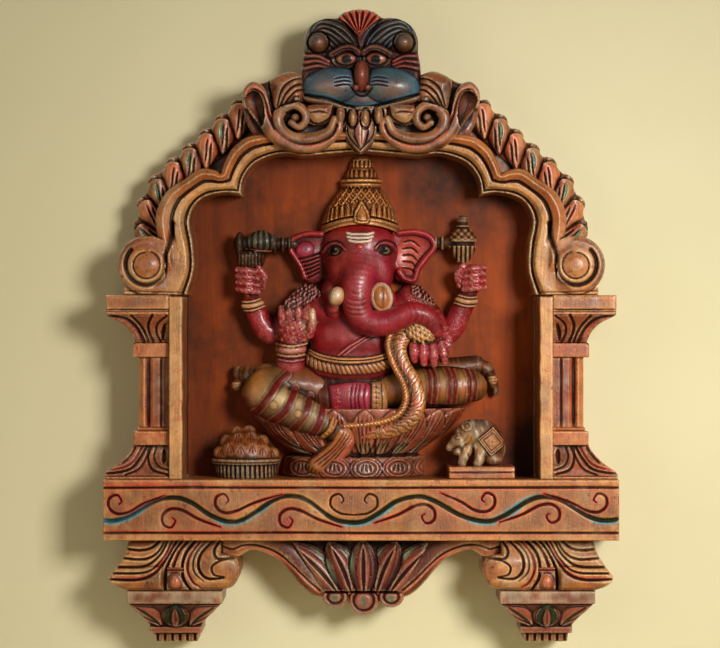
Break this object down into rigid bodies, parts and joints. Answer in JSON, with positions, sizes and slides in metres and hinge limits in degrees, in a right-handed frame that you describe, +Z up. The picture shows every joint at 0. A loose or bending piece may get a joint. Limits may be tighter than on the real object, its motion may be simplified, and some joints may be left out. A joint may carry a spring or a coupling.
{
  "type": "carved wall shrine",
  "caption": "Carved, painted wooden wall shrine: a cusped arch on pillars and a shelf frames a seated elephant-headed figure.",
  "frame": {"origin": "on the wall plane, midway across the shrine, level with the top of the shelf", "axes": "+Z up, +Y into the wall (the viewer stands at -Y), +X to the viewer's right"},
  "size_m": [0.491, 0.092, 0.6086],
  "materials": {
    "frame_wood": "hand-carved wood, gold-brown stain rubbed back on the high spots, dark wax in the cuts, satin varnish",
    "niche_wood": "orange-brown stained plank, darker towards its edges, satin varnish",
    "panel_wood": "light tan-orange stained wood, incised vine, satin varnish",
    "crest_wood": "carved wood with blue-grey, red and tan paint washes",
    "skin_lacquer": "carved wood, deep crimson oil paint under gloss varnish",
    "gilt_lacquer": "carved wood, antique gold paint with dark glaze in the cuts",
    "cloth_lacquer": "carved wood, olive-gold paint with crimson stripes",
    "lotus_lacquer": "carved wood, terracotta pink paint with green veins",
    "ivory_lacquer": "carved wood, cream paint",
    "offering_lacquer": "carved wood, brown-gold paint with dark glaze",
    "dowel_wood": "plain beech dowel, unfinished",
    "screw_steel": "zinc-plated steel",
    "hanger_steel": "pressed steel, yellow zinc plated"
  },
  "bodies": {
    "root": {"abacus_left": "frame_wood", "abacus_right": "frame_wood", "arch_left": "frame_wood", "arch_right": "frame_wood", "arch_tenon": "dowel_wood", "back_board": "niche_wood", "block_screws": "screw_steel", "bolster": "gilt_lacquer", "bracket_dowels": "dowel_wood", "capital_left": "frame_wood", "capital_right": "frame_wood", "corbel_foot_left": "frame_wood", "corbel_foot_right": "frame_wood", "corbel_left": "frame_wood", "corbel_right": "frame_wood", "crest_board": "crest_wood", "crest_dowels": "dowel_wood", "crest_mask": "crest_wood", "crest_pendant": "crest_wood", "crest_scroll_left": "crest_wood", "crest_scroll_right": "crest_wood", "crown": "gilt_lacquer", "ear_left": "skin_lacquer", "ear_right": "skin_lacquer", "elephant_head": "skin_lacquer", "emblem_left": "gilt_lacquer", "emblem_right": "gilt_lacquer", "foliage_left": "frame_wood", "foliage_right": "frame_wood", "front_arm_left": "skin_lacquer", "front_arm_right": "skin_lacquer", "hanger_screws": "screw_steel", "keyhole_hangers": "hanger_steel", "leg_left": "cloth_lacquer", "leg_right": "cloth_lacquer", "lotus_seat": "lotus_lacquer", "mouse": "offering_lacquer", "mouse_plinth": "offering_lacquer", "pillar_base_left": "frame_wood", "pillar_base_right": "frame_wood", "pillar_dowels": "dowel_wood", "pillar_shaft_left": "frame_wood", "pillar_shaft_right": "frame_wood", "rear_arm_left": "skin_lacquer", "rear_arm_right": "skin_lacquer", "sash": "gilt_lacquer", "shelf_bottom_board": "frame_wood", "shelf_end_left": "frame_wood", "shelf_end_right": "frame_wood", "shelf_front_panel": "panel_wood", "shelf_top_board": "frame_wood", "side_wall_left": "frame_wood", "side_wall_right": "frame_wood", "sweets_bowl": "offering_lacquer", "torso": "skin_lacquer", "tusks": "ivory_lacquer", "valance_arm_left": "frame_wood", "valance_arm_right": "frame_wood", "valance_lotus": "frame_wood"}
  },
  "joints": []
}
